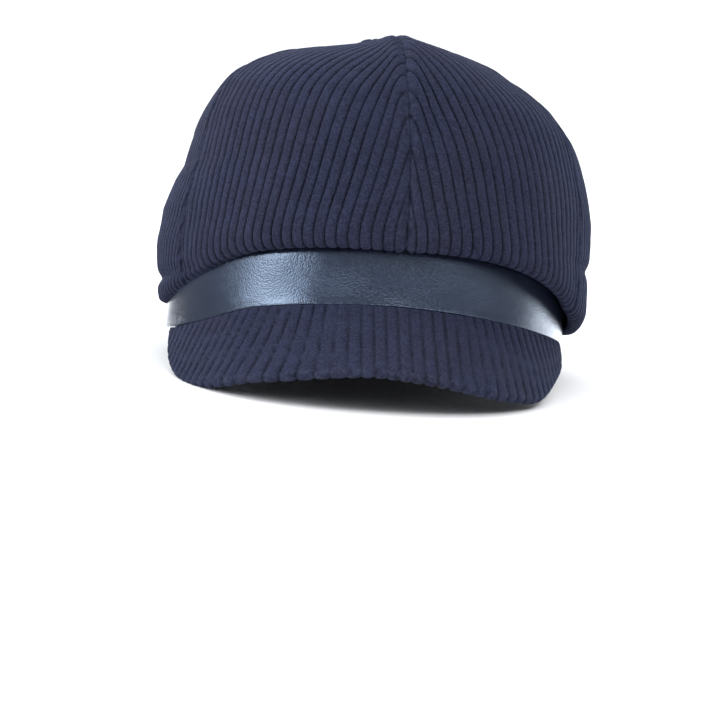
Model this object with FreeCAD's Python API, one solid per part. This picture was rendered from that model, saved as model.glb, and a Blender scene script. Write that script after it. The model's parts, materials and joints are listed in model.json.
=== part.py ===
import FreeCAD, Part
import os
from math import sin, cos, pi, radians, degrees, hypot, atan2

# Newsboy cap with a short stiff visor.  All sizes are in millimetres.
#
# The cap is laid out in its own frame first: z = 0 is the flat plane of the
# band's lower rim, the wearer looks towards -Y and the wearer's left is +X.
# Every solid is then tipped back and shifted into the resting frame, where the
# cap lies on a table (z = 0) on its two visor corners and its rear rim.

V = FreeCAD.Vector

# ---- driving dimensions ------------------------------------------------------
HEAD_LENGTH = 99.5          # half length of the head opening
HEAD_WIDTH = 81.0           # half width of the head opening
RIM_ARCH = 8.0              # rise of the rim at the middle of the forehead
ARCH_HALF = 81.0            # half width of that arch

# band layers: (inner offset, outer offset, low edge, high edge)
SWEATBAND = (0.0, 0.9, 0.6, 32.0)
STIFFENER = (1.1, 2.1, 1.5, 21.0)
STAND = (2.3, 3.6, 1.0, 28.0)
LEATHER = (3.7, 4.9, 0.0, 22.4)
BAND_T = LEATHER[1]

# crown: rings of control points from the band seam up to the apex, each one
# given as (radius, height) at the front, at the side and at the back
CROWN = [
    ((103.9, 35.0), (85.0, 27.0), (103.9, 27.0)),
    ((105.6, 33.4), (88.4, 26.5), (108.0, 27.5)),
    ((106.6, 31.4), (87.6, 13.0), (110.5, 14.0)),
    ((109.4, 30.2), (88.0, 4.0), (115.0, 5.0)),
    ((112.4, 33.6), (96.6, 4.0), (122.0, 7.0)),
    ((109.6, 54.0), (92.0, 29.0), (123.0, 30.0)),
    ((106.0, 86.0), (90.0, 72.0), (119.0, 74.0)),
    ((84.0, 118.0), (69.0, 107.0), (90.0, 106.0)),
    ((40.0, 126.0), (34.0, 121.0), (44.0, 119.0)),
    ((0.0, 122.0), (0.0, 122.0), (0.0, 122.0)),
]
LINING = [
    ((101.5, 31.0), (83.0, 23.0), (101.5, 23.0)),
    ((101.5, 37.0), (83.0, 30.0), (101.5, 30.0)),
    ((101.8, 46.0), (84.0, 40.0), (102.5, 44.0)),
    ((101.5, 62.0), (86.0, 55.0), (113.0, 58.0)),
    ((98.5, 84.0), (84.0, 70.0), (112.0, 74.0)),
    ((78.5, 111.0), (64.0, 100.5), (84.0, 99.5)),
    ((38.0, 118.0), (32.0, 114.0), (42.0, 112.0)),
    ((0.0, 114.5), (0.0, 114.5), (0.0, 114.5)),
]
CLOTH_T = 1.4               # corduroy thickness
LINING_T = 0.5
SIDE_POWER = 3.4            # how closely the side droop keeps to the side
PUFF = 2.5                  # how far each panel bellies out between its seams
SAG = 3.5                   # how far it sinks between its seams near the apex
BELLY_END = 0.76            # where the belly gives way to the sag
SEAM_GAP = 0.6              # space between neighbouring panels
APEX_HOLE = 3.0             # radius left open under the button

# visor
VISOR_END = radians(72)     # angle round the head where the visor ends
VISOR_DEPTH = 42.0          # from seam to edge at the middle
VISOR_CORNER = 4.0          # how much deeper it gets towards the corners
VISOR_END_DEPTH = 5.0
VISOR_ROUNDING = 2.2
VISOR_FAN = 0.16
VISOR_SLOPE = radians(38)
VISOR_END_SLOPE = radians(62)
VISOR_GAP = 1.2             # clearance between the leather band and the visor
VISOR_END_DROP = 3.0        # how far its ends hang below the rim
TOP_COVER = (0.0, 1.5)
BOARD = (1.6, 2.8)
UNDER_COVER = (2.9, 4.1)
BOARD_INSET = 2.5

# covered button at the apex
BUTTON_TILT = 5.0
BUTTON_BASE = 122.7

# blank label inside the back of the sweatband
LABEL_HALF = 15.0
LABEL = (-0.5, -0.15, 9.0, 29.0)

DEGREE = 3


# ---- crown and lining --------------------------------------------------------
def basis(i, p, t, knots):
    """Value of B-spline basis function i of degree p at t."""
    if p == 0:
        last = t >= knots[-1] and knots[i] < knots[i + 1] == knots[-1]
        return 1.0 if knots[i] <= t < knots[i + 1] or last else 0.0
    value = 0.0
    span = knots[i + p] - knots[i]
    if span > 0:
        value += (t - knots[i]) / span * basis(i, p - 1, t, knots)
    span = knots[i + p + 1] - knots[i + 1]
    if span > 0:
        value += (knots[i + p + 1] - t) / span * basis(i + 1, p - 1, t, knots)
    return value


def clamped_knots(count):
    inner = count - DEGREE
    return [0.0] * DEGREE + [k / inner for k in range(inner + 1)] + [1.0] * DEGREE


def dome_point(net, phi, s, puff=PUFF):
    """Point of the dome at angle phi round the head and height s (0 seam, 1 apex)."""
    knots = clamped_knots(len(net))
    weight = [basis(i, DEGREE, s, knots) for i in range(len(net))]
    side = abs(sin(phi)) ** SIDE_POWER
    end = 0 if cos(phi) > 0 else 2
    end_radius = sum(w * ring[end][0] for w, ring in zip(weight, net))
    side_radius = sum(w * ring[1][0] for w, ring in zip(weight, net))
    z = sum(w * (ring[1][1] * side + ring[end][1] * (1 - side)) for w, ring in zip(weight, net))
    x, y = side_radius * sin(phi), -end_radius * cos(phi)
    between = abs(sin(3 * phi))
    if s < BELLY_END:
        swell = puff * between * sin(pi * s / BELLY_END)
    else:
        swell = -SAG * between * sin(pi * (s - BELLY_END) / (1 - BELLY_END))
    up = min(1.0, max(0.0, (z - 70) / 50))
    grow = 1 + swell * (1 - 0.6 * up) / (hypot(x, y) + 1e-6)
    return V(x * grow, y * grow, z + swell * up)


def dome_normal(net, phi, s, puff=PUFF):
    """Outward unit normal, one-sided at a seam so that each panel keeps its own."""
    d = 1e-4
    across = dome_point(net, phi + d, s, puff) - dome_point(net, phi - d, s, puff)
    along = dome_point(net, phi, min(s + d, 1), puff) - dome_point(net, phi, max(s - d, 0), puff)
    return across.cross(along).normalize()


def apex_end(net):
    """Height parameter at which the dome has closed in to the apex hole."""
    low, high = 0.8, 1.0
    for _ in range(40):
        mid = (low + high) / 2
        p = dome_point(net, 0.0, mid)
        low, high = (mid, high) if hypot(p.x, p.y) > APEX_HOLE else (low, mid)
    return low


def surface(grid):
    face = Part.BSplineSurface()
    face.interpolate(grid)
    return face


def sheet(outer, inner):
    """Closed solid between two point grids, with ruled sides."""
    a, b = surface(outer), surface(inner)
    faces = [a.toShape(), b.toShape()]
    u0, u1, v0, v1 = a.bounds()
    p0, p1, q0, q1 = b.bounds()
    sides = [(a.uIso(u0), b.uIso(p0)), (a.uIso(u1), b.uIso(p1)),
             (a.vIso(v0), b.vIso(q0)), (a.vIso(v1), b.vIso(q1))]
    for one, other in sides:
        faces.append(Part.makeRuledSurface(one.toShape(), other.toShape(), 1))
    shell = Part.makeShell(faces)
    shell.sewShape()
    solid = Part.makeSolid(shell)
    if solid.Volume < 0:
        solid.reverse()
    return solid


def dome_panel(net, start, thickness, puff=PUFF):
    """One of the six sewn panels, from angle start to start + 60 degrees."""
    columns, rows = 9, 45
    top = apex_end(net)
    outer, inner = [], []
    for i in range(columns):
        outer.append([])
        inner.append([])
        for j in range(rows):
            s = top * j / (rows - 1)
            edge = dome_point(net, start, s, puff)
            trim = SEAM_GAP / 2 / hypot(edge.x, edge.y)
            phi = start + trim + (radians(60) - 2 * trim) * i / (columns - 1)
            p = dome_point(net, phi, s, puff)
            outer[i].append(p)
            inner[i].append(p - dome_normal(net, phi, s, puff) * thickness)
    return sheet(outer, inner)


# ---- band --------------------------------------------------------------------
def rim_height(x):
    """Height of the rim's front half above the flat plane of the rear half."""
    return RIM_ARCH * max(0.0, 1 - (x / ARCH_HALF) ** 2)


def beyond_arch(level, above):
    """Everything above or below the arched rim line raised by level."""
    far, deep = 160.0, 200.0 if above else -200.0
    xs = [ARCH_HALF * (k / 12 - 1) for k in range(25)]
    arch = [V(x, -far, level + rim_height(x)) for x in xs]
    curve = Part.BSplineCurve()
    curve.interpolate(arch)
    outline = Part.makePolygon([arch[-1], V(far, -far, level), V(far, -far, deep),
                                V(-far, -far, deep), V(-far, -far, level), arch[0]])
    front = Part.Face(Part.Wire([curve.toShape()] + outline.Edges)).extrude(V(0, far, 0))
    low, high = sorted((level, deep))
    rear = Part.makeBox(2 * far, far, high - low, V(-far, 0, low))
    return front, rear


def oval(offset, low, high):
    """Elliptic cylinder that stands off the head opening by offset."""
    ellipse = Part.Ellipse(V(0, 0, low), HEAD_LENGTH + offset, HEAD_WIDTH + offset)
    wire = Part.Wire([ellipse.toShape()])
    wire.rotate(V(0, 0, 0), V(0, 0, 1), 90)
    return Part.Face(wire).extrude(V(0, 0, high - low))


def band(inner, outer, low, high):
    """A band layer whose two edges follow the arched rim line."""
    ring = oval(outer, low - 1, high + RIM_ARCH + 1).cut(oval(inner, low - 2, high + RIM_ARCH + 2))
    for part in beyond_arch(low, False) + beyond_arch(high, True):
        ring = ring.cut(part)
    return ring.Solids[0]


# ---- visor -------------------------------------------------------------------
def visor_frame(phi):
    """Seam point, outward direction, upper normal and inward lean of the visor at phi.

    The lean is how far a layer has to start along the outward direction, for each
    millimetre that it lies below the upper surface, to stay clear of the band.
    """
    q = abs(phi) / VISOR_END
    width, length = HEAD_WIDTH + BAND_T + VISOR_GAP, HEAD_LENGTH + BAND_T + VISOR_GAP
    x, y = width * sin(phi), -length * cos(phi)
    start = V(x, y, rim_height(x) - VISOR_END_DROP * q * q)
    slope = VISOR_SLOPE + (VISOR_END_SLOPE - VISOR_SLOPE) * q * q
    fan = VISOR_FAN * phi
    out = V(sin(fan) * cos(slope), -cos(fan) * cos(slope), -sin(slope))
    tangent = V(width * cos(phi), length * sin(phi), 0)
    up = out.cross(tangent).normalize()
    away = V(tangent.y, -tangent.x, 0).normalize()
    return start, out, up, up.dot(away) / out.dot(away)


def visor_layer(upper, lower, inset=0.0):
    """One layer of the visor between two depths below its upper surface."""
    columns, rows = 45, 6
    grids = [[], []]
    for i in range(columns):
        turn = sin(pi / 2 * (2 * i / (columns - 1) - 1))
        phi = (VISOR_END - radians(inset)) * turn
        start, out, up, lean = visor_frame(phi)
        full = VISOR_DEPTH + VISOR_CORNER * (phi / VISOR_END) ** 2 - inset
        round_off = max(0.0, 1 - abs(turn) ** VISOR_ROUNDING) ** 0.5
        depth = VISOR_END_DEPTH + (full - VISOR_END_DEPTH) * round_off
        room = 0.6 * depth / UNDER_COVER[1]
        setback = (max(lean, 0.1) ** -4 + room ** -4) ** -0.25
        for grid, below in zip(grids, (upper, lower)):
            first = setback * below
            grid.append([start + out * (first + (depth - first) * j / (rows - 1)) - up * below
                         for j in range(rows)])
    return sheet(*grids), grids[1]


# ---- button ------------------------------------------------------------------
def dome_arc(top, edge, inward=False):
    """Round cap of a turned part, from its top on the axis to its edge, level at the top."""
    drop = top[1] - edge[1]
    radius = (edge[0] ** 2 + drop ** 2) / (2 * drop)
    half = atan2(edge[0], radius - drop) / 2
    middle = (radius * sin(half), top[1] - radius + radius * cos(half))
    return (edge if inward else top) + middle


def turned(outline):
    """Solid of revolution about the button's axis; a point with a middle starts an arc."""
    edges = []
    for item, following in zip(outline, outline[1:] + outline[:1]):
        a, b = V(item[0], 0, item[1]), V(following[0], 0, following[1])
        if len(item) == 4:
            edges.append(Part.Arc(a, V(item[2], 0, item[3]), b).toShape())
        else:
            edges.append(Part.makeLine(a, b))
    solid = Part.Face(Part.Wire(edges)).revolve(V(0, 0, 0), V(0, 0, 1), 360)
    solid.rotate(V(0, 0, 0), V(1, 0, 0), -BUTTON_TILT)
    solid.translate(V(0, 0, BUTTON_BASE))
    return solid


def button_parts():
    outer, under_cover = ((0, 4.4), (9.5, 1.0)), ((0, 3.4), (8.5, 0.9))
    metal, hollow = ((0, 3.3), (8.35, 0.85)), ((0, 2.8), (7.8, 0.75))
    return {
        "crown_button_cover": turned([dome_arc(*outer), outer[1], (9.5, 0.3), (8.5, 0.3),
                                      dome_arc(*under_cover, inward=True), under_cover[0]]),
        "crown_button_shell": turned([dome_arc(*metal), metal[1], (8.35, 0.3), (7.8, 0.3),
                                      dome_arc(*hollow, inward=True), hollow[0]]),
        "crown_button_back": turned([(1.3, 0.3), (7.6, 0.3), (7.6, 0.6), (4.0, 1.5), (1.3, 1.5)]),
        "crown_button_shank": turned([(0, 2.3), (2.6, 2.1), (2.6, 1.6), (1.2, 1.6), (1.2, -9.9),
                                      (4.2, -9.9), (4.2, -10.7), (0, -10.7)]),
    }


# ---- all the pieces, in the cap's own frame ----------------------------------
def build():
    parts = {}
    places = (("front_left", 0), ("side_left", 60), ("back_left", 120),
              ("back_right", 180), ("side_right", 240), ("front_right", 300))
    for name, angle in places:
        parts["crown_panel_" + name] = dome_panel(CROWN, radians(angle), CLOTH_T)
        parts["lining_panel_" + name] = dome_panel(LINING, radians(angle), LINING_T, 0.5)
    parts["leather_band"] = band(*LEATHER)
    parts["band_stand"] = band(*STAND)
    parts["band_stiffener"] = band(*STIFFENER)
    parts["sweatband"] = band(*SWEATBAND)
    label = Part.makeBox(2 * LABEL_HALF, 60, LABEL[3] - LABEL[2], V(-LABEL_HALF, 60, LABEL[2]))
    ring = oval(LABEL[1], 0, 50).cut(oval(LABEL[0], -1, 51))
    parts["care_label"] = label.common(ring).Solids[0]
    parts["visor_top_cover"], _ = visor_layer(*TOP_COVER)
    parts["visor_board"], _ = visor_layer(*BOARD, inset=BOARD_INSET)
    parts["visor_under_cover"], under = visor_layer(*UNDER_COVER)
    parts.update(button_parts())
    return parts, [p for column in under for p in column]


def rest_tilt(under):
    """Angle between the rim's plane and a table under visor corners and rear rim."""
    rear = HEAD_LENGTH + BAND_T
    return max(degrees(atan2(-p.z, rear - p.y)) for p in under)


parts, under = build()
tilt = rest_tilt(under)
for solid in parts.values():
    solid.rotate(V(0, 0, 0), V(1, 0, 0), -tilt)
corners = [p for solid in parts.values() for p in solid.tessellate(0.3)[0]]
centre = [(min(v) + max(v)) / 2 for v in zip(*[(p.x, p.y) for p in corners])]
shift = V(0, -centre[1], -min(p.z for p in corners))

os.makedirs("parts", exist_ok=True)
for name, solid in sorted(parts.items()):
    solid.translate(shift)
    solid.exportStep("parts/" + name + ".step")
    print("%-28s volume %8.1f  solids %d  closed %s  valid %s" % (
        name, solid.Volume, len(solid.Solids), solid.isClosed(), solid.isValid()))
print("rest tilt %.4f deg, shift %.4f %.4f mm" % (tilt, shift.y, shift.z))
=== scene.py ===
"""Newsboy cap: the looks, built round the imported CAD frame.

Shapes are laid out in the cap's own frame in millimetres (z = 0 is the band's flat rim
plane, the wearer looks towards -y) and turned into the row frame, in metres, on the way
into each mesh.
"""
import json
import math

import bmesh
import bpy
import numpy as np
from mathutils import Matrix, Vector


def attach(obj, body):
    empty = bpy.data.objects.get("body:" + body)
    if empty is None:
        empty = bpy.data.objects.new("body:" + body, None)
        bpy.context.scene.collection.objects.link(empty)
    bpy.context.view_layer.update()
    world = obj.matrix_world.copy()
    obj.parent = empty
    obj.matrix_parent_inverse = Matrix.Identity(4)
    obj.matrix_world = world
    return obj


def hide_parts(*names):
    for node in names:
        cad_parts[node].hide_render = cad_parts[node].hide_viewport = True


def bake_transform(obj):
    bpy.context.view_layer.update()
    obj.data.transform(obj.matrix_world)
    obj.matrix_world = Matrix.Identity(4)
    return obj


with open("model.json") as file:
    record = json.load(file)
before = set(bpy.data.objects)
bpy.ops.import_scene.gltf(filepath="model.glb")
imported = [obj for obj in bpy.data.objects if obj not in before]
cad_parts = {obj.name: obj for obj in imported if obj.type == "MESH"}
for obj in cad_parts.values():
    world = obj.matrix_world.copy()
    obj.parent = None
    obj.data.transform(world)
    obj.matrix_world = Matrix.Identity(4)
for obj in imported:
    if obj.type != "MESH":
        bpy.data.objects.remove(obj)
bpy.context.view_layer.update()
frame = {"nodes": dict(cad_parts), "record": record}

# ---- the cap's own frame, from the record's head opening ----------------------
OPENING = next(m for m in frame["record"]["mounts"] if m["name"] == "head_opening")
ORIGIN = np.array(OPENING["pos_m"], float)
UP = -np.array(OPENING["axis"], float)
RIGHT = np.array([1.0, 0.0, 0.0])
AXES = np.stack([RIGHT, np.cross(UP, RIGHT), UP])
MM = 0.001


def to_row(points):
    """Cap frame, mm, to row frame, m."""
    return ORIGIN + np.asarray(points, float) * MM @ AXES


# ---- driving dimensions, mm ------------------------------------------------------
HEAD_LENGTH, HEAD_WIDTH = 99.5, 81.0
RIM_ARCH, ARCH_HALF = 8.0, 81.0
BAND_T = 4.9
BAND_HEIGHT = 22.4
CROWN = np.array([
    ((103.9, 35.0), (85.0, 27.0), (103.9, 27.0)),
    ((105.6, 33.4), (88.4, 26.5), (108.0, 27.5)),
    ((106.6, 31.4), (87.6, 13.0), (110.5, 14.0)),
    ((109.4, 30.2), (88.0, 4.0), (115.0, 5.0)),
    ((112.4, 33.6), (96.6, 4.0), (122.0, 7.0)),
    ((109.6, 54.0), (92.0, 29.0), (123.0, 30.0)),
    ((106.0, 86.0), (90.0, 72.0), (119.0, 74.0)),
    ((84.0, 118.0), (69.0, 107.0), (90.0, 106.0)),
    ((40.0, 126.0), (34.0, 121.0), (44.0, 119.0)),
    ((0.0, 122.0), (0.0, 122.0), (0.0, 122.0)),
])
LINING = np.array([
    ((101.5, 31.0), (83.0, 23.0), (101.5, 23.0)),
    ((101.5, 37.0), (83.0, 30.0), (101.5, 30.0)),
    ((101.8, 46.0), (84.0, 40.0), (102.5, 44.0)),
    ((101.5, 62.0), (86.0, 55.0), (113.0, 58.0)),
    ((98.5, 84.0), (84.0, 70.0), (112.0, 74.0)),
    ((78.5, 111.0), (64.0, 100.5), (84.0, 99.5)),
    ((38.0, 118.0), (32.0, 114.0), (42.0, 112.0)),
    ((0.0, 114.5), (0.0, 114.5), (0.0, 114.5)),
])
PUFF, SAG, BELLY_END = 2.5, 3.5, 0.76
APEX_HOLE = 3.0
VISOR_END = math.radians(72)
VISOR_DEPTH, VISOR_CORNER, VISOR_END_DEPTH = 42.0, 4.0, 3.6
# the visor's outline and slope, fitted to the photo
VISOR_ROUNDING, VISOR_FAN, VISOR_CURL = 2.6, 0.16, 1.3
VISOR_SLOPE, VISOR_END_SLOPE = math.radians(38.5), math.radians(58)
VISOR_GAP, VISOR_END_DROP, VISOR_T = 1.2, 0.5, 4.1
VISOR_FULLER = (1.5, 0.56, 0.3)     # extra depth, and the angle and width of that place
# corners cut rounder: which side (1 is the wearer's left), how deep, from what angle, how softly
VISOR_TRIMS = ((1, 13.0, 0.80, 0.38), (-1, 3.0, 0.9, 0.3))
FLOOR_SOFT, FLOOR_REACH = 0.4, 4.0  # how softly, and from how high, the visor's edge meets the floor
BUTTON_TILT, BUTTON_BASE = math.radians(5), 122.7
STITCH_SIZE = 0.34

# the worn cap's own unevenness
BAND_SHIFT = 1.9            # the band sits this far over to the wearer's left
BAND_DIP = 3.4              # and its foot dips this far at the wearer's right temple
VISOR_SHIFT = 0.9           # the visor sits this far over to the wearer's left
LEAN = 5.0                  # the soft crown sits this far over to the wearer's left
TWIST = math.radians(2.5)   # and is turned this much
SEAM_SHIFT = math.radians(7)    # the seam by the wearer's right temple sits this far back
SIDE_POWER = (4.4, 2.9)     # how closely the droop keeps to the side: wearer's right, left
CREASE_HEIGHT = (17.0, 30.0)    # height of the crease in each drooping side: wearer's right, left
CREASE_DEPTH = 2.2
TOP_RAISE = (1.8, -10, 46, 22)  # the top stands this much up, from this x to that, and how softly
TOP_HOLLOW = (1.2, 56, 10)      # and sinks this much at this x, over this width
# how far each side stands out (mm) from the even shape, by height
STANCE_RIGHT = np.array([
    (-5, -6.5), (8, -6), (15, -3.6), (21, -2.2), (28, -1.3), (35, 0), (48, 1), (61, -1.0), (67, -3.0),
    (74, -2.8), (80, -2.4), (87, -0.4), (94, 1.8), (100, 4.2), (107, 4.6), (113, 3.6), (120, 1.6), (126, 0)])
STANCE_LEFT = np.array([
    (-5, -5.5), (6, -5), (13, -3.8), (20, -3.9), (26, -3.3), (32, -2), (39, -2), (46, -1.5), (52, -0.3),
    (59, 0), (72, 0), (85, 1), (91, 0.4), (98, 0), (105, -1.2), (111, -0.9), (118, 0.2), (124, 0.9),
    (128, 0.6)])

# corduroy
WALE_PITCH = 4.8
WALE_DEPTH = 1.05
GORE_ROWS, GORE_SAMPLES = 196, 361
SLANT_REACH = 32.0      # the lean of the wales at a gore's foot levels off over this height
SLANT_KNEE = 6.0        # and changes where the gore has narrowed this much
WALE_SAMPLES = np.array([0, .03, .065, .11, .17, .28, .5, .72, .83, .89, .935, .97])


# ---- surfaces ------------------------------------------------------------------
def spline_weights(count, s):
    """Clamped cubic B-spline weights, one row per control ring."""
    inner = count - 3
    knots = np.concatenate([[0.0] * 3, np.arange(inner + 1) / inner, [1.0] * 3])
    s = np.clip(s, 0, 1 - 1e-9)
    rows = [((knots[i] <= s) & (s < knots[i + 1])).astype(float) for i in range(len(knots) - 1)]
    for p in (1, 2, 3):
        fresh = []
        for i in range(len(rows) - 1):
            value = np.zeros_like(s)
            if knots[i + p] > knots[i]:
                value = value + (s - knots[i]) / (knots[i + p] - knots[i]) * rows[i]
            if knots[i + p + 1] > knots[i + 1]:
                value = value + (knots[i + p + 1] - s) / (knots[i + p + 1] - knots[i + 1]) * rows[i + 1]
            fresh.append(value)
        rows = fresh
    return np.stack(rows)


def smooth(t):
    t = np.clip(t, 0, 1)
    return t * t * (3 - 2 * t)


def bump(x, centre, width):
    return np.exp(-((x - centre) / width) ** 2)


def dome(net, phi, s, puff, worn):
    """Points of the crown or lining at angle phi round the head and height s."""
    phi, s = np.broadcast_arrays(np.asarray(phi, float), np.asarray(s, float))
    panel_phi = phi
    if worn:
        right = np.clip(-np.arctan2(np.sin(phi), np.cos(phi)) / math.radians(120), 0, 1)
        phi = phi - SEAM_SHIFT * np.sin(np.pi * right) ** 2
    w = spline_weights(len(net), s)
    w = w[..., None, None] * net.reshape((len(net),) + (1,) * s.ndim + (3, 2))
    ring = w.sum(0)
    wrapped = np.arctan2(np.sin(phi), np.cos(phi))
    power = np.where(wrapped < 0, SIDE_POWER[0], SIDE_POWER[1]) if worn else 3.4
    side = np.abs(np.sin(phi)) ** power
    front = np.cos(phi) > 0
    end_r = np.where(front, ring[..., 0, 0], ring[..., 2, 0])
    end_z = np.where(front, ring[..., 0, 1], ring[..., 2, 1])
    z = ring[..., 1, 1] * side + end_z * (1 - side)
    x, y = ring[..., 1, 0] * np.sin(phi), -end_r * np.cos(phi)
    between = np.abs(np.sin(3 * panel_phi))
    belly = puff * between ** (0.8 if worn else 1.0) * np.sin(np.pi * np.clip(s / BELLY_END, 0, 1))
    sag = SAG * between * np.sin(np.pi * np.clip((s - BELLY_END) / (1 - BELLY_END), 0, 1))
    swell = np.where(s < BELLY_END, belly, -sag)
    if worn:
        swell = swell + side_shape(wrapped, z, s)
    up = np.clip((z - 70) / 50, 0, 1)
    r = np.hypot(x, y) + 1e-6
    grow = 1 + swell * (1 - 0.6 * up) / r
    x, y, z = x * grow, y * grow, z + swell * up
    if worn:
        c, t = math.cos(TWIST), math.sin(TWIST)
        x, y = x * c - y * t, x * t + y * c
        settle = smooth((z + 15) / 40) * smooth((r - 9) / 32)
        x = x + LEAN * settle * (1 - 0.45 * smooth((z - 55) / 60))
        raised, low, high, soft = TOP_RAISE
        sunk, centre, width = TOP_HOLLOW
        top = raised * smooth((x - low) / soft) * smooth((high - x) / soft) - sunk * bump(x, centre, width)
        z = z + top * smooth((z - 88) / 20)
        fold = bump(s, 0.36, 0.13)
        z = z + fold * (3.5 * (wrapped < 0) * np.abs(np.sin(phi)) ** 3 - 0.9 * np.clip(np.cos(phi), 0, 1))
    return np.stack([x, y, z], -1)


def side_shape(phi, z, s):
    """Creases and rolls of the drooping sides, in mm outwards."""
    at_side = np.abs(np.sin(phi)) ** 6
    outside = smooth((s - 0.36) / 0.06)
    height = np.where(phi < 0, CREASE_HEIGHT[0], CREASE_HEIGHT[1])
    height = height + 5 * np.cos(phi)
    roll = -CREASE_DEPTH * bump(z, height, 3.2) + 1.3 * bump(z, height + 13, 9)
    stance = np.where(phi < 0, np.interp(z, *STANCE_RIGHT.T), np.interp(z, *STANCE_LEFT.T))
    stance = stance * np.abs(np.sin(phi)) ** 3 * smooth((s - 0.12) / 0.15)
    uneven = 0.55 * np.sin(phi * 5 + z / 17) * np.sin(z / 23 + 1.3) * smooth((z - 25) / 25)
    return (roll * at_side * outside + stance + uneven) * smooth((1 - s) / 0.2)


def normals(surface, a, b, da=1e-4, db=1e-4):
    """Unit normals of surface(a, b), by differences."""
    across = surface(a + da, b) - surface(a - da, b)
    low, high = np.maximum(b - db, 0), np.minimum(b + db, 1)
    along = surface(a, high) - surface(a, low)
    n = np.cross(across, along)
    return n / (np.linalg.norm(n, axis=-1, keepdims=True) + 1e-12)


def rim(x, y):
    arch = RIM_ARCH * np.maximum(0, 1 - (x / ARCH_HALF) ** 2)
    return np.where(y < 0, arch, 0)


def worn_rim(x, y, height=0.0):
    """Rim height on the worn cap: the band's foot dips at the wearer's right temple."""
    dip = smooth((-x - 48) / 28) * smooth((40 - y) / 50)
    return rim(x, y) - BAND_DIP * dip * np.clip(1 - height / BAND_HEIGHT, 0, 1)


def wale(v):
    """Height of the pile, 0 in a groove to 1 on a wale, at distance v across the cloth."""
    a = np.abs(2 * ((v / WALE_PITCH) % 1) - 1)
    return (1 - np.minimum(a, 1) ** 4.2) ** 0.85


# ---- meshes --------------------------------------------------------------------
def make_piece(name, points, faces, material, attributes=None, thickness=0.0):
    """A smooth mesh object from cap-frame points; faces may repeat a corner."""
    clean = []
    for f in faces:
        f = [c for k, c in enumerate(f) if c != f[k - 1]]
        if len(set(f)) == len(f) >= 3:
            clean.append(f)
    used = np.unique(np.concatenate([np.asarray(f) for f in clean]))
    index = np.full(len(points), -1)
    index[used] = np.arange(len(used))
    mesh = bpy.data.meshes.new(name)
    mesh.from_pydata(to_row(points[used]).tolist(), [], [[int(index[c]) for c in f] for f in clean])
    for key, values in (attributes or {}).items():
        layer = mesh.attributes.new(key, "FLOAT", "POINT")
        layer.data.foreach_set("value", np.ascontiguousarray(values[used], np.float32))
    mesh.polygons.foreach_set("use_smooth", [True] * len(mesh.polygons))
    mesh.materials.append(material)
    mesh.update()
    obj = bpy.data.objects.new(name, mesh)
    bpy.context.scene.collection.objects.link(obj)
    if thickness:
        shell = obj.modifiers.new("thickness", "SOLIDIFY")
        shell.thickness, shell.offset = thickness * MM, -1
        apply_modifiers(obj)
    return obj


def outward(obj):
    """Turns a closed mesh's faces outwards."""
    mesh = bmesh.new()
    mesh.from_mesh(obj.data)
    bmesh.ops.recalc_face_normals(mesh, faces=mesh.faces)
    mesh.to_mesh(obj.data)
    mesh.free()
    return obj


def apply_modifiers(obj):
    depsgraph = bpy.context.evaluated_depsgraph_get()
    final = bpy.data.meshes.new_from_object(obj.evaluated_get(depsgraph))
    obj.modifiers.clear()
    obj.data = final


def grid_faces(index, closed=False):
    """Quads of a 2-D index array; closed joins the last column to the first."""
    if closed:
        index = np.concatenate([index, index[:, :1]], 1)
    quads = np.stack([index[:-1, :-1], index[:-1, 1:], index[1:, 1:], index[1:, :-1]], -1)
    return quads.reshape(-1, 4).tolist()


def zip_lines(a, at, b, bt):
    """Triangles between two lines of corners, each with its place along the line."""
    faces, i, j = [], 0, 0
    while i < len(a) - 1 or j < len(b) - 1:
        if j == len(b) - 1 or (i < len(a) - 1 and at[i + 1] <= bt[j + 1]):
            faces.append([int(a[i]), int(a[i + 1]), int(b[j])])
            i += 1
        else:
            faces.append([int(a[i]), int(b[j + 1]), int(b[j])])
            j += 1
    return faces


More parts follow.
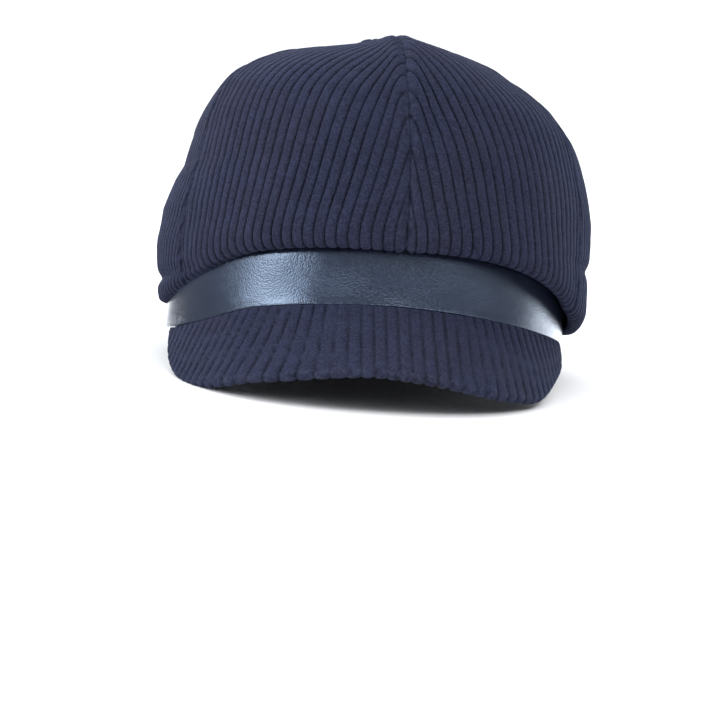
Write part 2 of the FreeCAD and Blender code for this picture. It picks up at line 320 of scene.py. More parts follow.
def crown_panel(name, start, material, slant):
    """One gore with its wales as real ridges, parallel to the gore's middle line."""
    def surface(phi, s):
        return dome(CROWN, phi, s, PUFF, True)

    middle = start + math.radians(30)
    fine = np.linspace(0, 1, 1500)
    path = surface(middle, fine)
    radius = np.hypot(*(surface(start, fine)[:, :2]).T)
    top = fine[np.argmax((radius < APEX_HOLE + 3) & (fine > 0.8))]
    step = np.linalg.norm(np.diff(path, axis=0), axis=1)
    climbed = np.concatenate([[0], np.cumsum(step)])
    step = step * (1 + 1.6 * bump(fine[1:], 0.33, 0.1))     # more rows where it creases
    run = np.concatenate([[0], np.cumsum(step)])
    rows = GORE_ROWS
    s = np.interp(np.linspace(0, np.interp(top, fine, run), rows), run, fine)

    samples = GORE_SAMPLES
    half = math.radians(30)
    spread = np.repeat(np.linspace(-half, half, samples)[None, :], rows, 0)
    ring = surface(middle + spread, s[:, None])
    length = np.concatenate([np.zeros((rows, 1)),
                             np.cumsum(np.linalg.norm(np.diff(ring, axis=1), axis=2), 1)], 1)
    across = length - length[:, samples // 2:samples // 2 + 1]
    edge = np.minimum(across - across[:, :1], across[:, -1:] - across)
    height = np.interp(s, fine, path[:, 2])
    climb = np.interp(s, fine, climbed)
    climb = climb - np.interp(0.36, s, climb)

    # cloth position: eased in where it meets the band, cut away by the seam higher up,
    # and turned into the seam near the top
    half_width = (across[:, -1] - across[:, 0]) / 2
    widest = half_width.max()
    belly_row = int(np.argmax(half_width))
    level = (half_width[0] + 2 * widest) / 3
    eased = level / np.where(np.arange(rows) < belly_row, half_width, widest)
    eased = eased * (1.06 - 0.06 * smooth(climb / 70))
    turned = edge * np.exp(-(edge / 6.0) ** 2) * (0.75 * smooth((height - 60) / 35))[:, None]
    drift = 0.35 * np.sin(height / 31 + start * 3)[:, None] * smooth(edge / 8)
    cloth = across * eased[:, None] + turned * np.sign(across) + drift
    narrowing = np.where(np.arange(rows) > belly_row, widest - half_width, 0)
    foot, wide, tip = slant
    lean = foot * SLANT_REACH * np.tanh(climb / SLANT_REACH) + wide * np.minimum(narrowing, SLANT_KNEE)
    lean = lean + tip * np.maximum(narrowing - SLANT_KNEE, 0)
    cloth = cloth - lean[:, None]

    low_k, high_k = int(np.floor(cloth.min() / WALE_PITCH)), int(np.ceil(cloth.max() / WALE_PITCH))
    columns = np.concatenate([(k + WALE_SAMPLES) * WALE_PITCH for k in range(low_k, high_k)])
    place = np.stack([np.interp(columns, cloth[j], spread[j]) for j in range(rows)])
    phi = middle + place
    v = np.stack([np.interp(columns, cloth[j], across[j]) for j in range(rows)])
    ss = np.repeat(s[:, None], phi.shape[1], 1)
    points = surface(phi, ss)
    out = normals(surface, phi, ss)

    edge = np.minimum(v - across[:, :1], across[:, -1:] - v)
    # the pile height shapes the wales and also masks the painted shade in their grooves
    pile_and_groove_shade = wale(np.clip(columns[None, :], cloth[:, :1], cloth[:, -1:]))
    crush = 0.07 * np.sin(points[..., 0] / 7.3 + points[..., 2] / 9.1) * np.sin(points[..., 2] / 5.7)
    lift = WALE_DEPTH * (pile_and_groove_shade * (1 + crush) - 0.8) * (1 - 0.4 * bump(edge, 0, 1.5))
    seam = -1.2 * bump(edge, 0, 1.0) + 0.35 * bump(edge, 3.5, 2.2)
    pucker = 0.15 * np.sin(run_along(points) / 2.6) * bump(edge, 1.5, 3.0)
    points = points + out * (lift + seam + pucker)[..., None]

    index = np.arange(v.size).reshape(v.shape)
    low = columns[None, :] <= cloth[:, :1]
    high = columns[None, :] >= cloth[:, -1:]
    nth = np.arange(rows)
    left_at, right_at = low.sum(1) - 1, phi.shape[1] - high.sum(1)
    first, last = index[nth, left_at], index[nth, right_at]
    outer = np.where(low, first[:, None], np.where(high, last[:, None], index))
    faces = grid_faces(outer)

    # the wrong side of the cloth, plain and coarser, joined all round
    picked = np.unique(np.append(np.arange(0, rows, 4), rows - 1))
    back_spread = np.linspace(-half, half, 49)
    back_phi, back_s = np.broadcast_arrays(middle + back_spread[None, :], s[picked][:, None])
    back = surface(back_phi, back_s)
    sunk = 1.5 + 0.5 * bump(np.abs(back_spread), half, 0.02)
    back = back - normals(surface, back_phi, back_s) * sunk[None, :, None]
    inner = np.arange(back_phi.size).reshape(back_phi.shape) + v.size
    faces += grid_faces(inner[:, ::-1])
    for row, line in ((0, inner[0]), (rows - 1, inner[-1])):
        part = slice(left_at[row], right_at[row] + 1)
        faces += zip_lines(index[row, part], place[row, part], line, back_spread)
    faces += zip_lines(first, nth, inner[:, 0], picked)
    faces += zip_lines(last, nth, inner[:, -1], picked)

    wear = bump(edge, 0, 2.2) * 0.7 + 0.5 * bump(ss, 0.34, 0.03)
    none = np.zeros(back_phi.size)
    obj = make_piece(name, np.concatenate([points.reshape(-1, 3), back.reshape(-1, 3)]), faces, material,
                     {"pile_and_groove_shade": np.append(pile_and_groove_shade.ravel(), none + 0.6), "wear": np.append(wear.ravel(), none)})
    return outward(obj)


def run_along(points):
    """Distance along each column of a point grid."""
    step = np.linalg.norm(np.diff(points, axis=0), axis=2)
    return np.concatenate([np.zeros((1, points.shape[1])), np.cumsum(step, 0)])


# ---- visor ---------------------------------------------------------------------
def visor_frame(phi):
    """Seam point, outward direction and upper normal of the visor, drawn up to the band."""
    q = np.abs(phi) / VISOR_END
    width, length = HEAD_WIDTH + BAND_T + VISOR_GAP, HEAD_LENGTH + BAND_T + VISOR_GAP
    x, y = width * np.sin(phi), -length * np.cos(phi)
    start = np.stack([x + VISOR_SHIFT, y, worn_rim(x, y) - VISOR_END_DROP * q * q], -1)
    slope = VISOR_SLOPE + (VISOR_END_SLOPE - VISOR_SLOPE) * q ** VISOR_CURL
    fan = VISOR_FAN * phi
    out = np.stack([np.sin(fan) * np.cos(slope), -np.cos(fan) * np.cos(slope), -np.sin(slope)], -1)
    tangent = np.stack([width * np.cos(phi), length * np.sin(phi), 0 * x], -1)
    up = np.cross(out, tangent)
    return start, out, up / np.linalg.norm(up, axis=-1, keepdims=True)


def visor_depth(phi):
    """How far the visor reaches out from its seam."""
    q = np.abs(phi) / VISOR_END
    full = VISOR_DEPTH + VISOR_CORNER * q * q
    fuller, centre, width = VISOR_FULLER
    full = full + fuller * bump(phi, centre, width)
    for side, cut, start, soft in VISOR_TRIMS:
        full = full - cut * smooth((side * phi - start) / soft)
    return VISOR_END_DEPTH + (full - VISOR_END_DEPTH) * np.sqrt(np.maximum(0, 1 - q ** VISOR_ROUNDING))


def visor_flat(phi):
    """Flat x of the visor's seam when the visor is unrolled."""
    start, _, up = visor_frame(phi)
    step = np.diff(start, axis=0)
    ds = np.linalg.norm(step, axis=1)
    along = np.gradient(start, axis=0)
    along /= np.linalg.norm(along, axis=1, keepdims=True)
    across = np.cross(up, along)
    middle = len(phi) // 2
    turn = np.sum(np.diff(along, axis=0) * across[:-1], 1)
    psi = np.concatenate([[0], np.cumsum(turn)])
    psi -= psi[middle]
    x = np.concatenate([[0], np.cumsum(np.cos(psi[:-1]) * ds)])
    x -= x[middle]
    return x


# visor edge tucked into the band's foot, mm: how far in, how far down at the front,
# and how much higher by the wearer's left and right temples, where the band sits unevenly
TUCK = ((3.4, 3.2, 0.0, 0.0), (3.6, 2.2, 0.6, 0.6), (3.6, 0.8, 1.6, 1.6),
        (3.0, -0.2, 2.1, 1.4), (2.0, -0.3, 2.2, 0.0), (1.0, -0.25, 1.2, 0.0))


def visor_cover(material):
    """Upper cover, turned edge and under cover of the visor, with wales over all of it."""
    fine = VISOR_END * np.sin(np.linspace(-np.pi / 2, np.pi / 2, 4001))
    flat_x = visor_flat(fine)
    arc = np.concatenate([[0], np.cumsum(np.linalg.norm(np.diff(visor_frame(fine)[0], axis=0), axis=1))])
    arc -= arc[len(fine) // 2]
    flat_x = flat_x + 0.55 * (arc - flat_x)
    flat_rate = 0.5 * smooth((-fine - 0.05) / 0.95) - 0.15 * smooth((fine - 0.15) / 0.8)
    middle_v = flat_x + 0.62 * visor_depth(fine) * flat_rate
    count = int(np.ceil(middle_v.max() / WALE_PITCH))
    wanted = np.concatenate([(k + WALE_SAMPLES) * WALE_PITCH for k in range(-count, count)])
    monotone = np.maximum.accumulate(middle_v)
    wanted = wanted[(wanted > middle_v.min()) & (wanted < middle_v.max())]
    phi = np.interp(wanted, monotone, fine)
    extra = VISOR_END * np.sin(np.pi / 2 * np.linspace(0.93, 1, 16))
    phi = np.unique(np.round(np.concatenate([-extra, phi, extra]), 6))

    radius = VISOR_T / 2
    start, out, up = visor_frame(phi)
    depth = visor_depth(phi)
    rate = np.interp(phi, fine, flat_rate)
    x0 = np.interp(phi, fine, flat_x)
    top = np.linspace(0, 1, 46)
    wrap = np.linspace(0, np.pi, 15)[1:-1]
    along = np.stack([(HEAD_WIDTH + 6) * np.cos(phi), (HEAD_LENGTH + 6) * np.sin(phi), 0 * phi], -1)
    away = np.stack([along[:, 1], -along[:, 0], 0 * phi], -1)
    away /= np.linalg.norm(away, axis=1, keepdims=True)
    points, v, edge = [], [], []
    left, right = smooth((phi - 0.35) / 0.3), smooth((-phi - 0.6) / 0.3)
    for inward, drop, raise_left, raise_right in TUCK:
        down = drop - raise_left * left - raise_right * right
        points.append(start - away * inward - np.stack([0 * phi, 0 * phi, down], -1))
        v.append(x0)
        edge.append(depth)
    for t in top:
        d = depth * t - radius * smooth((t - 0.5) / 0.5)
        points.append(start + out * d[:, None])
        v.append(x0 + d * rate)
        edge.append(depth - d)
    for angle in wrap:
        d = depth - radius + radius * math.sin(angle)
        drop = radius * (1 - math.cos(angle))
        points.append(start + out * d[:, None] - up * drop)
        v.append(x0 + (depth - radius + radius * angle * 0.6) * rate)
        edge.append(np.zeros_like(d))
    for t in top[::-1]:
        d = (depth - radius) * t
        points.append(start + out * d[:, None] - up * VISOR_T * (0.9 + 0.1 * smooth(t / 0.2)))
        v.append(x0 + (d + 2) * rate)
        edge.append(depth - d)
    points, v, edge = np.array(points), np.array(v), np.array(edge)
    n = np.cross(np.gradient(points, axis=1), np.gradient(points, axis=0))
    n /= np.linalg.norm(n, axis=2, keepdims=True) + 1e-12
    n *= np.sign(np.sum(n[len(TUCK) + 6] * up))     # a row well inside the upper cover
    # the pile height shapes the wales and also masks the painted shade in their grooves
    pile_and_groove_shade = wale(v + WALE_PITCH / 2 + 0.25 * np.sin(points[..., 1] / 13))
    rows = len(points)
    tucked = (np.arange(rows)[:, None] < len(TUCK)) * 0.8
    lift = WALE_DEPTH * (pile_and_groove_shade - 0.8) * (1 - tucked)
    under = np.arange(rows)[:, None] >= len(TUCK) + len(top) + len(wrap)
    hem = bump(edge, 5.5, 0.9) * under
    lift = lift - 1.1 * hem + 0.15 * np.sin(points[..., 0] / 9.0) * np.sin(points[..., 1] / 8.0)
    ends = smooth((VISOR_END - np.abs(phi)) / math.radians(3))
    points = points + n * (lift * (0.3 + 0.7 * ends))[..., None]
    # the sunken hem line gets the painted groove shade as well
    pile_and_groove_shade = pile_and_groove_shade * (1 - 0.8 * hem)
    low = np.minimum(to_row(points)[..., 2] * 1000, FLOOR_REACH)
    settled = FLOOR_SOFT * np.log1p(np.exp(low / FLOOR_SOFT)) - low
    points[..., 2] += settled       # at rest the cloth edge lies on the floor, not in it

    index = np.arange(rows * len(phi)).reshape(rows, len(phi))
    faces = grid_faces(np.concatenate([index, index[:1]]))
    faces += [index[:, 0].tolist(), index[::-1, -1].tolist()]
    wear = bump(edge, 0, 2.0) * 0.8
    return outward(make_piece("visor_cover", points.reshape(-1, 3), faces, material,
                              {"pile_and_groove_shade": pile_and_groove_shade.ravel(), "wear": wear.ravel()}))


# ---- band, lining, trim ----------------------------------------------------------
def round_head(profile, columns, name, material, relief):
    """Sweeps a profile of (offset from the head opening, height over the rim) round the head."""
    phi = np.arange(columns) / columns * 2 * np.pi
    points = []
    for offset, height in profile:
        offset = offset + relief(phi, height)
        x, y = (HEAD_WIDTH + offset) * np.sin(phi), -(HEAD_LENGTH + offset) * np.cos(phi)
        points.append(np.stack([x + BAND_SHIFT, y, height + worn_rim(x, y, height)], -1))
    index = np.arange(len(profile) * columns).reshape(len(profile), columns)
    index = np.concatenate([index, index[:1]])
    return make_piece(name, np.array(points).reshape(-1, 3), grid_faces(index, closed=True), material)


def smooth_profile(corners, count):
    """A rounded line through corner points, by Chaikin cuts, resampled evenly."""
    p = np.array(corners, float)
    for _ in range(3):
        a, b = p[:-1] * 0.75 + p[1:] * 0.25, p[:-1] * 0.25 + p[1:] * 0.75
        p = np.concatenate([p[:1], np.stack([a, b], 1).reshape(-1, 2), p[-1:]])
    run = np.concatenate([[0], np.cumsum(np.linalg.norm(np.diff(p, axis=0), axis=1))])
    at = np.linspace(0, run[-1], count)
    return np.stack([np.interp(at, run, p[:, 0]), np.interp(at, run, p[:, 1])], -1)


def leather_relief(phi, height):
    """Slight waviness of the leather, and the lap where its ends join at the back."""
    wave = 0.16 * np.sin(7 * phi + height / 5) + 0.1 * np.sin(17 * phi - height / 7 + 1)
    back = np.arctan2(np.sin(phi - np.pi), np.cos(phi - np.pi)) * 100
    lap = 0.7 * smooth((back + 5) / 0.8) * (1 - smooth((back - 5) / 3))
    return wave * smooth(height / 4) + lap


def stitch_row(name, material, count, offset, height, half):
    """A row of short thread stitches round the head, each a small capsule."""
    points, faces = [], []
    sides, rings = 6, ((-1.0, 0.25), (-0.8, 0.8), (-0.3, 1.0), (0.3, 1.0), (0.8, 0.8), (1.0, 0.25))
    for k in range(count):
        phi = (k + 0.5) / count * 2 * np.pi
        x, y = (HEAD_WIDTH + offset) * math.sin(phi), -(HEAD_LENGTH + offset) * math.cos(phi)
        centre = np.array([x + BAND_SHIFT, y, height + float(worn_rim(np.array(x), np.array(y), height))])
        ahead = np.array([(HEAD_WIDTH + offset) * math.cos(phi), (HEAD_LENGTH + offset) * math.sin(phi), 0])
        ahead /= np.linalg.norm(ahead)
        away = np.cross(ahead, [0, 0, 1.0])
        upward = np.cross(away, ahead)
        base = len(points)
        for along, width in rings:
            for side in range(sides):
                turn = 2 * math.pi * side / sides
                points.append(centre + ahead * along * half
                              + (away * math.cos(turn) + upward * math.sin(turn)) * STITCH_SIZE * width)
        ring_index = base + np.arange(len(rings) * sides).reshape(len(rings), sides)
        faces += grid_faces(ring_index, closed=True)
        faces += [ring_index[0, ::-1].tolist(), ring_index[-1].tolist()]
    return make_piece(name, np.array(points), faces, material)


def lining_dome(material):
    """The lining, seen from inside, with its sewn seams standing up a little."""
    columns, rows = 300, 90
    phi = np.arange(columns) / columns * 2 * np.pi
    s = np.linspace(0, 0.985, rows)[:, None]

    def surface(a, b):
        return dome(LINING, a, b, 0.5, False)

    grid_phi, grid_s = np.broadcast_arrays(phi[None, :], s)
    points = surface(grid_phi, grid_s)
    out = normals(surface, grid_phi + 1e-3, grid_s)
    height = points[..., 2]
    points[..., 0] += 0.85 * LEAN * smooth((height - 30) / 30) * (1 - 0.45 * smooth((height - 55) / 60))
    seam = np.minimum(np.abs(np.sin(3 * phi)) / 3 * 60, 20)[None, :]
    wrinkle = 0.5 * np.sin(9 * grid_phi + 4 * grid_s) * np.sin(grid_s * 17 + 2 * np.sin(grid_phi * 3))
    points = points - out * (0.9 * bump(seam, 0, 1.6) + wrinkle * 0.7 + 0.4)[..., None]
    index = np.arange(rows * columns).reshape(rows, columns)
    return make_piece("lining", points.reshape(-1, 3), grid_faces(index, closed=True), material,
                      thickness=0.3)


def button(material):
    """Covered button: a low dome of corduroy, gathered under its rim."""
    columns, radius, height = 96, 9.4, 4.3
    profile = [(r, 1.0 + (height - 1.0) * math.sqrt(max(0, 1 - (r / radius) ** 2)) ** 1.25)
               for r in np.linspace(0.35, radius - 0.05, 42)]
    profile += [(radius + 0.1, 0.75), (radius, 0.4), (radius - 0.5, 0.15), (radius - 1.6, 0.1)]
    turn = np.arange(columns) / columns * 2 * np.pi
    rows = []
    for r, z in profile:
        gather = 0.18 * np.sin(turn * 16) * smooth((r - radius + 2.0) / 2.0)
        rows.append(np.stack([(r + gather) * np.cos(turn), (r + gather) * np.sin(turn),
                              np.full(columns, z)], -1))
    points = np.array(rows)
    # the pile height shapes the wales and also masks the painted shade in their grooves
    pile_and_groove_shade = wale(points[..., 0] + WALE_PITCH / 2)
    lift = (pile_and_groove_shade - 0.7) * 0.75 * (1 - 0.6 * smooth((np.hypot(points[..., 0], points[..., 1]) - 8) / 2))
    points[..., 2] += lift
    c, t = math.cos(-BUTTON_TILT), math.sin(-BUTTON_TILT)
    y, z = points[..., 1] * c - points[..., 2] * t, points[..., 1] * t + points[..., 2] * c
    points = np.stack([points[..., 0], y, z + BUTTON_BASE], -1)
    index = np.arange(points.shape[0] * columns).reshape(points.shape[0], columns)
    faces = grid_faces(index, closed=True) + [index[0, ::-1].tolist()]
    zero = np.zeros(pile_and_groove_shade.size)
    return make_piece("button_cover", points.reshape(-1, 3), faces, material,
                      {"pile_and_groove_shade": pile_and_groove_shade.ravel(), "wear": zero}, thickness=0.5)


def label(material):
    """Blank woven label with folded ends, curved with the back of the sweatband."""
    across, along = np.linspace(-1, 1, 41), np.linspace(0, 1, 27)
    a, b = np.meshgrid(across, along)
    x = a * 14.8
    offset = -0.28 - 0.12 * bump(np.abs(a), 0.93, 0.05) - 0.1 * np.sin(a * 5 + b * 3) * 0.4
    y = (HEAD_LENGTH + offset) * np.sqrt(1 - (x / (HEAD_WIDTH + offset)) ** 2)
    points = np.stack([x + BAND_SHIFT, y, 9.3 + 19.4 * b], -1)
    index = np.arange(a.size).reshape(a.shape)
    return make_piece("label", points.reshape(-1, 3), grid_faces(index), material, thickness=-0.2)


# ---- materials -------------------------------------------------------------------
class Nodes:
    """Small helper for building a node material."""

    def __init__(self, name):
        self.material = bpy.data.materials.new(name)
        self.material.use_nodes = True
        self.tree = self.material.node_tree
        self.shader = self.tree.nodes["Principled BSDF"]
        self.place = self.node("ShaderNodeTexCoord").outputs["Object"]

    def node(self, kind, inputs=None, **settings):
        node = self.tree.nodes.new(kind)
        for key, value in settings.items():
            setattr(node, key, value)
        for key, value in (inputs or {}).items():
            socket = node.inputs[key]
            if isinstance(value, bpy.types.NodeSocket):
                self.tree.links.new(value, socket)
            else:
                socket.default_value = value
        return node

    def noise(self, scale, detail=3, rough=0.55, stretch=None, distort=0.0):
        place = self.place
        if stretch:
            place = self.node("ShaderNodeMapping", {"Vector": place, "Scale": stretch}).outputs[0]
        return self.node("ShaderNodeTexNoise", {"Vector": place, "Scale": scale, "Detail": detail,
                                                "Roughness": rough, "Distortion": distort}).outputs[0]

    def remap(self, value, low, high, to_low=0.0, to_high=1.0):
        return self.node("ShaderNodeMapRange", {0: value, 1: low, 2: high, 3: to_low, 4: to_high}).outputs[0]

    def mix(self, factor, a, b):
        node = self.node("ShaderNodeMix", data_type="RGBA")
        for socket, value in ((node.inputs[0], factor), (node.inputs[6], a), (node.inputs[7], b)):
            if isinstance(value, bpy.types.NodeSocket):
                self.tree.links.new(value, socket)
            else:
                socket.default_value = value
        return node.outputs[2]

    def math(self, operation, a, b=0.0):
        return self.node("ShaderNodeMath", {0: a, 1: b}, operation=operation).outputs[0]

    def attribute(self, name):
        return self.node("ShaderNodeAttribute", attribute_name=name).outputs["Fac"]

    def set(self, **values):
        for key, value in values.items():
            socket = self.shader.inputs[key.replace("_", " ")]
            if isinstance(value, bpy.types.NodeSocket):
                self.tree.links.new(value, socket)
            else:
                socket.default_value = value
        return self

    def relief(self, height, distance, strength=1.0, under=None):
        inputs = {"Height": height, "Distance": distance, "Strength": strength}
        if under:
            inputs["Normal"] = under
        return self.node("ShaderNodeBump", inputs).outputs[0]


def rgb(r, g, b):
    return (r, g, b, 1.0)


def corduroy():
    m = Nodes("navy_corduroy")
    pile_and_groove_shade = m.attribute("pile_and_groove_shade")
    tufts = m.noise(1150, 5, 0.75)
    cross = m.noise(430, 3, 0.6)
    streaks = m.noise(150, 3, 0.6, stretch=(1, 1, 0.35))
    patches = m.noise(24, 3, 0.5, distort=0.4)
    # painted shade: the grooves between the wales are painted almost black, on top of the shading of the
    # real ridges
    base = m.mix(m.remap(pile_and_groove_shade, 0.25, 0.9), rgb(0.0005, 0.0006, 0.0014), rgb(0.0162, 0.0185, 0.0380))
    base = m.mix(m.remap(patches, 0.35, 0.7, 0.0, 0.45), base, rgb(0.026, 0.0225, 0.035))
    base = m.mix(m.remap(streaks, 0.4, 0.7, 0.0, 0.4), base, rgb(0.026, 0.031, 0.066))
    base = m.mix(m.remap(tufts, 0.48, 0.72, 0.0, 0.8), base, rgb(0.034, 0.040, 0.082))
    base = m.mix(m.remap(tufts, 0.34, 0.5, 0.65, 0.0), base, rgb(0.004, 0.0045, 0.010))
    base = m.mix(m.remap(cross, 0.3, 0.55, 0.35, 0.0), base, rgb(0.007, 0.008, 0.017))
    base = m.mix(m.math("MULTIPLY", m.attribute("wear"), m.remap(cross, 0.4, 0.7, 0.0, 0.5)),
                 base, rgb(0.055, 0.063, 0.108))
    lint = m.node("ShaderNodeTexVoronoi", {"Vector": m.place, "Scale": 75.0, "Randomness": 1.0})
    speck = m.remap(lint.outputs["Distance"], 0.018, 0.034, 1.0, 0.0)
    rare = m.math("GREATER_THAN", m.noise(31, 2), 0.62)
    base = m.mix(m.math("MULTIPLY", m.math("MULTIPLY", speck, rare), 0.75), base, rgb(0.22, 0.23, 0.27))
    fibres = m.relief(tufts, 0.0006, 0.9)
    fibres = m.relief(cross, 0.0006, 0.4, fibres)
    m.set(Base_Color=base, Roughness=0.93, Sheen_Weight=0.1, Sheen_Roughness=0.4,
          Sheen_Tint=rgb(0.34, 0.44, 0.88), Normal=fibres)
    m.shader.inputs["Specular IOR Level"].default_value = 0.12
    return m.material


def leather():
    m = Nodes("navy_leather")
    wide = m.noise(16, 2, 0.5)
    fine = m.noise(500, 3, 0.6)
    warp = m.node("ShaderNodeMix", {"Factor": 0.0003}, data_type="VECTOR")
    m.tree.links.new(m.place, warp.inputs[4])
    m.tree.links.new(m.node("ShaderNodeTexNoise", {"Vector": m.place, "Scale": 420.0}).outputs[1],
                     warp.inputs[5])
    grain = m.node("ShaderNodeTexVoronoi", {"Vector": warp.outputs[1], "Scale": 1600.0,
                                            "Smoothness": 0.4}, feature="SMOOTH_F1").outputs["Distance"]
    base = m.mix(m.remap(wide, 0.3, 0.7), rgb(0.015, 0.019, 0.036), rgb(0.020, 0.026, 0.047))
    base = m.mix(m.remap(grain, 0.3, 0.62, 0.0, 0.6), base, rgb(0.008, 0.011, 0.022))
    base = m.mix(m.remap(fine, 0.55, 0.8, 0.0, 0.35), base, rgb(0.034, 0.044, 0.080))
    pebble = m.relief(m.math("SUBTRACT", 1.0, grain), 0.00014, 0.7)
    m.set(Base_Color=base, Roughness=m.remap(wide, 0.3, 0.7, 0.17, 0.21), Normal=pebble)
    m.shader.inputs["Specular IOR Level"].default_value = 0.95
    m.shader.inputs["IOR"].default_value = 1.65
    m.shader.inputs["Specular Tint"].default_value = rgb(0.62, 0.77, 1.0)
    return m.material


def satin():
    m = Nodes("lining_satin")
    wide = m.noise(30, 3, 0.5)
    weave = m.node("ShaderNodeTexWave", {"Vector": m.place, "Scale": 900.0, "Distortion": 1.5},
                   bands_direction="DIAGONAL").outputs["Fac"]
    base = m.mix(m.remap(wide, 0.3, 0.7), rgb(0.010, 0.011, 0.020), rgb(0.018, 0.020, 0.034))
    base = m.mix(m.remap(weave, 0.0, 1.0, 0.0, 0.3), base, rgb(0.030, 0.033, 0.052))
    m.set(Base_Color=base, Roughness=m.remap(wide, 0.3, 0.7, 0.36, 0.5),
          Normal=m.relief(weave, 0.00012, 0.4))
    m.shader.inputs["Anisotropic"].default_value = 0.5
    return m.material


def woven(name, dark, light, rib, rib_scale):
    """Ribbed or plain woven tape: fine ribs one way, threads the other."""
    m = Nodes(name)
    ribs = m.node("ShaderNodeTexWave", {"Vector": m.place, "Scale": rib_scale, "Distortion": 0.3},
                  bands_direction=rib).outputs["Fac"]
    threads = m.noise(1500, 3, 0.6)
    wide = m.noise(25, 2, 0.5)
    base = m.mix(m.remap(ribs, 0.1, 0.8), dark, light)
    base = m.mix(m.remap(threads, 0.4, 0.7, 0.0, 0.35), base, light)
    base = m.mix(m.remap(wide, 0.35, 0.7, 0.0, 0.25), base, dark)
    height = m.relief(ribs, 0.0004, 0.6)
    m.set(Base_Color=base, Roughness=0.85, Sheen_Weight=0.2, Normal=m.relief(threads, 0.0002, 0.4, height))
    return m.material


def hard(name, colour, metallic, roughness):
    """Small hard parts: brushed metal or moulded plastic with fine unevenness."""
    m = Nodes(name)
    marks = m.noise(600, 4, 0.6, stretch=(1, 1, 6))
    darker = tuple(0.72 * c for c in colour[:3]) + (1.0,)
    m.set(Base_Color=m.mix(m.remap(marks, 0.35, 0.7), colour, darker), Metallic=metallic,
          Roughness=m.remap(marks, 0.3, 0.7, roughness, roughness + 0.15),
          Normal=m.relief(marks, 0.0001, 0.3))
    return m.material


CORDUROY = corduroy()
LEATHER = leather()
SATIN = satin()
TAPE = woven("ribbed_tape", rgb(0.012, 0.014, 0.024), rgb(0.034, 0.038, 0.060), "Z", 420.0)
LABEL_CLOTH = woven("label_cloth", rgb(0.42, 0.42, 0.40), rgb(0.66, 0.66, 0.63), "X", 900.0)
THREAD = woven("sewing_thread", rgb(0.02, 0.023, 0.045), rgb(0.07, 0.08, 0.14), "DIAGONAL", 2500.0)
METAL = hard("button_metal", rgb(0.62, 0.62, 0.64), 1.0, 0.35)
PLASTIC = hard("button_plastic", rgb(0.03, 0.03, 0.035), 0.0, 0.45)

# ---- pieces ----------------------------------------------------------------------
SIDES = (("front_left", 0), ("side_left", 60), ("back_left", 120),
         ("back_right", 180), ("side_right", 240), ("front_right", 300))
# how the wales lean: with height at the foot, and as the gore narrows, below and above the knee
SLANT = {"front_left": (-0.06, -0.95, -0.6), "front_right": (0.04, 0.95, 0.75),
         "side_right": (0.6, 0.0, 0.0)}
for side, angle in SIDES:
    piece = crown_panel("crown_" + side, math.radians(angle), CORDUROY, SLANT.get(side, (0.0, 0.0, 0.0)))
    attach(piece, "cap")
    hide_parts("crown_panel_" + side)

piece = lining_dome(SATIN)
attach(piece, "cap")
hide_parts(*["lining_panel_" + side for side, _ in SIDES])

leather_line = smooth_profile([(2.5, 12.0), (2.5, 7.0), (2.5, 1.2), (2.9, 0.1), (4.9, 0.0), (5.15, 0.5),
                               (5.0, 2.2), (5.0, 8.0), (5.05, 14.0), (4.9, 20.5), (4.7, 22.3), (4.1, 22.6),
                               (3.7, 23.5), (3.6, 27.4), (3.2, 28.0), (2.4, 27.4), (2.4, 20.0)], 84)
piece = round_head(leather_line, 540, "leather_wrap", LEATHER, relief=leather_relief)
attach(piece, "cap")
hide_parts("leather_band", "band_stand", "band_stiffener")

tape_line = smooth_profile([(2.0, 3.0), (1.9, 0.7), (0.9, 0.35), (0.05, 0.8), (0.0, 3.0), (0.0, 10.0),
                            (0.0, 20.0), (0.0, 30.8), (0.2, 31.9), (0.7, 32.0), (0.85, 31.0)], 50)
piece = round_head(tape_line, 360, "sweatband_tape", TAPE,
                   relief=lambda phi, h: 0.12 * np.sin(9 * phi + h / 6) * smooth(h / 6))
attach(piece, "cap")
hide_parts("sweatband")

for name, height in (("sweatband_stitching", 3.0), ("sweatband_top_stitching", 29.5)):
    piece = stitch_row(name, THREAD, 168, -0.05, height, 1.25)
    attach(piece, "cap")

piece = label(LABEL_CLOTH)
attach(piece, "cap")
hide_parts("care_label")

piece = button(CORDUROY)
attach(piece, "cap")
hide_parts("crown_button_cover")

piece = visor_cover(CORDUROY)
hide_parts("visor_top_cover", "visor_board", "visor_under_cover")
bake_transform(piece)

for node, material in (("crown_button_shell", METAL), ("crown_button_back", PLASTIC),
                       ("crown_button_shank", METAL)):
    data = frame["nodes"][node].data
    data.materials.clear()
    data.materials.append(material)


# ---- stage, light and camera -------------------------------------------------------
FLOOR_HALF = 8.0


def stage():
    """Plain pale floor, wide enough to run out of sight behind the cap."""
    half = FLOOR_HALF
    points = [(-half, -half, 0.0), (half, -half, 0.0), (half, half, 0.0), (-half, half, 0.0)]
    faces = [(0, 1, 2, 3)]
    mesh = bpy.data.meshes.new("floor")
    mesh.from_pydata(points, [], faces)
    m = Nodes("floor_white")
    m.set(Base_Color=m.mix(m.remap(m.noise(3, 2), 0.3, 0.7), rgb(0.90, 0.885, 0.87), rgb(0.92, 0.905, 0.89)),
          Roughness=0.9)
    mesh.materials.append(m.material)
    floor = bpy.data.objects.new("floor", mesh)
    bpy.context.scene.collection.objects.link(floor)
    floor.visible_glossy = False    # the leather mirrors the studio, not the floor


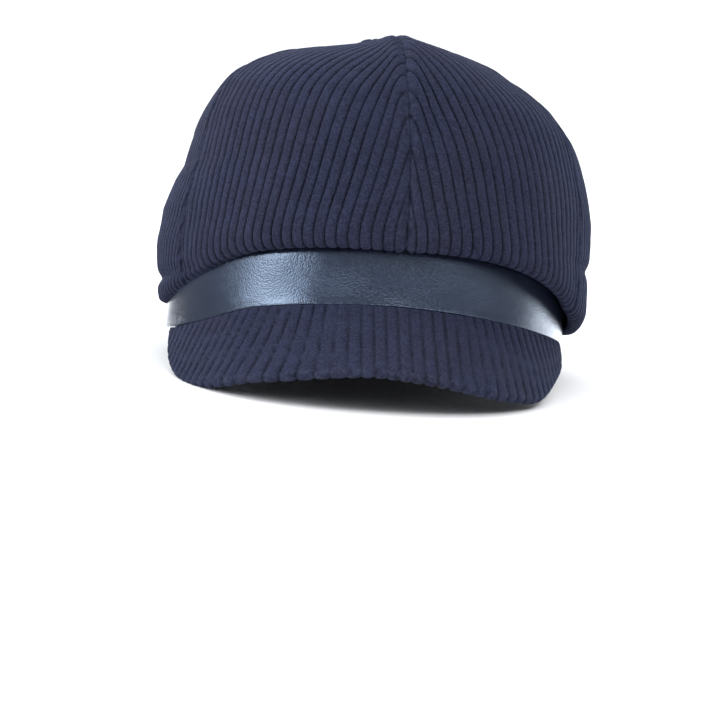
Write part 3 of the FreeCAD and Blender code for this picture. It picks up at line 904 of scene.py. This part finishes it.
def area_light(name, place, target, size, power, colour):
    data = bpy.data.lights.new(name, "AREA")
    data.shape, data.size, data.size_y = "RECTANGLE", size[0], size[1]
    data.energy, data.color = power, colour
    obj = bpy.data.objects.new(name, data)
    obj.location = place
    obj.rotation_euler = (Vector(target) - Vector(place)).to_track_quat("-Z", "Y").to_euler()
    bpy.context.scene.collection.objects.link(obj)


stage()
world = bpy.data.worlds.new("studio")
world.use_nodes = True
studio = world.node_tree


def sky(kind, inputs=(), **settings):
    """A world node; inputs are (socket, value or output) pairs."""
    node = studio.nodes.new(kind)
    for key, value in settings.items():
        setattr(node, key, value)
    for socket, value in inputs:
        if isinstance(value, bpy.types.NodeSocket):
            studio.links.new(value, node.inputs[socket])
        else:
            node.inputs[socket].default_value = value
    return node


def sky_band(value, low, high, start, end):
    return sky("ShaderNodeMapRange", ((0, value), (1, low), (2, high), (3, start), (4, end)),
               interpolation_type="SMOOTHSTEP").outputs[0]


def sky_math(operation, a, b):
    return sky("ShaderNodeMath", ((0, a), (1, b)), operation=operation).outputs[0]


# what the leather mirrors, each as (from, to, level before, level after). Above the horizon it
# is bright behind and overhead. Below it, where the floor isn't mirrored, it is bright in front,
# and behind to the wearer's left, and fades downwards. The camera sees plain white.
BEHIND, OVERHEAD = (0.80, 0.97, 0.30, 2.2), (0.35, 0.8, 0.0, 1.5)
BELOW_BEHIND, BELOW_FRONT = (0.60, 1.15, 0.22, 4.6), (-0.7, 0.1, 1.7, 0.0)
BELOW_FADE, HORIZON = (-0.5, -0.2, 0.1, 1.0), (-0.06, 0.03, 1.0, 0.0)
TO_THE_LEFT, SEEN_WHITE = 0.5, 1.12
toward = sky("ShaderNodeSeparateXYZ", ((0, sky("ShaderNodeTexCoord").outputs["Generated"]),)).outputs
level = sky_math("ADD", sky_band(toward[1], *BEHIND), sky_band(toward[2], *OVERHEAD))
aside = sky_math("ADD", toward[1], sky_math("MULTIPLY", toward[0], TO_THE_LEFT))
below = sky_math("ADD", sky_band(aside, *BELOW_BEHIND), sky_band(toward[1], *BELOW_FRONT))
below = sky_math("MULTIPLY", below, sky_band(toward[2], *BELOW_FADE))
level = sky("ShaderNodeMix", ((0, sky_band(toward[2], *HORIZON)), (2, level), (3, below))).outputs[0]
seen = sky("ShaderNodeMix", ((0, sky("ShaderNodeLightPath").outputs["Is Camera Ray"]),
                             (2, level), (3, SEEN_WHITE))).outputs[0]
studio.nodes["Background"].inputs[0].default_value = (0.93, 0.96, 1.0, 1.0)
studio.links.new(seen, studio.nodes["Background"].inputs[1])
bpy.context.scene.world = world

HEART = (0.0, 0.0, 0.07)    # the lights aim here
# place and size in m, power in W, colour
LIGHTS = (("key", (-1.49, -0.50, 0.65), (0.9, 1.1), 22.5, (0.92, 0.96, 1.0)),
          ("fill", (0.9, -1.3, 1.6), (0.9, 0.9), 19.0, (0.95, 0.97, 1.0)),
          ("rim_left", (-0.62, 1.45, 0.35), (0.5, 0.7), 9.0, (0.85, 0.92, 1.0)),
          ("rim_right", (0.9, 1.3, 0.30), (0.55, 0.6), 7.0, (0.85, 0.92, 1.0)))
for name, place, size, power, colour in LIGHTS:
    area_light(name, place, HEART, size, power, colour)

# camera: where the photograph was taken from, told in the cap's own frame
VIEW_DISTANCE, VIEW_AZIMUTH, VIEW_ELEVATION, VIEW_ROLL = 1200.0, -3.5, -4.0, 3.5
LOOK_AT = np.array([0.0, 0.0, 55.0])
FRAME_SIZE = 720
AIM_OFF = (7 / FRAME_SIZE, -154 / FRAME_SIZE)    # where that point lies in the frame, from its middle
LENS, SENSOR = 137.46, 36.0


def camera():
    a, e, roll = (math.radians(v) for v in (VIEW_AZIMUTH, VIEW_ELEVATION, VIEW_ROLL))
    back = np.array([math.sin(a) * math.cos(e), -math.cos(a) * math.cos(e), math.sin(e)])
    place = LOOK_AT + back * VIEW_DISTANCE
    ahead = -back
    right = np.cross(ahead, [0, 0, 1.0])
    right /= np.linalg.norm(right)
    up = np.cross(right, ahead)
    right, up = (right * math.cos(roll) + up * math.sin(roll), up * math.cos(roll) - right * math.sin(roll))
    ahead = ahead - (AIM_OFF[0] * right - AIM_OFF[1] * up) * SENSOR / LENS
    ahead /= np.linalg.norm(ahead)
    right -= right @ ahead * ahead
    right /= np.linalg.norm(right)
    up = np.cross(right, ahead)
    turn = np.stack([right, up, -ahead]) @ AXES
    data = bpy.data.cameras.new("camera")
    data.lens, data.sensor_width, data.clip_start = LENS, SENSOR, 0.01
    obj = bpy.data.objects.new("camera", data)
    matrix = Matrix.Identity(4)
    for k in range(3):
        for j in range(3):
            matrix[j][k] = turn[k][j]
        matrix[k][3] = to_row(place)[k]
    obj.matrix_world = matrix
    bpy.context.scene.collection.objects.link(obj)
    bpy.context.scene.camera = obj


camera()
bpy.context.scene.view_settings.view_transform = "Standard"
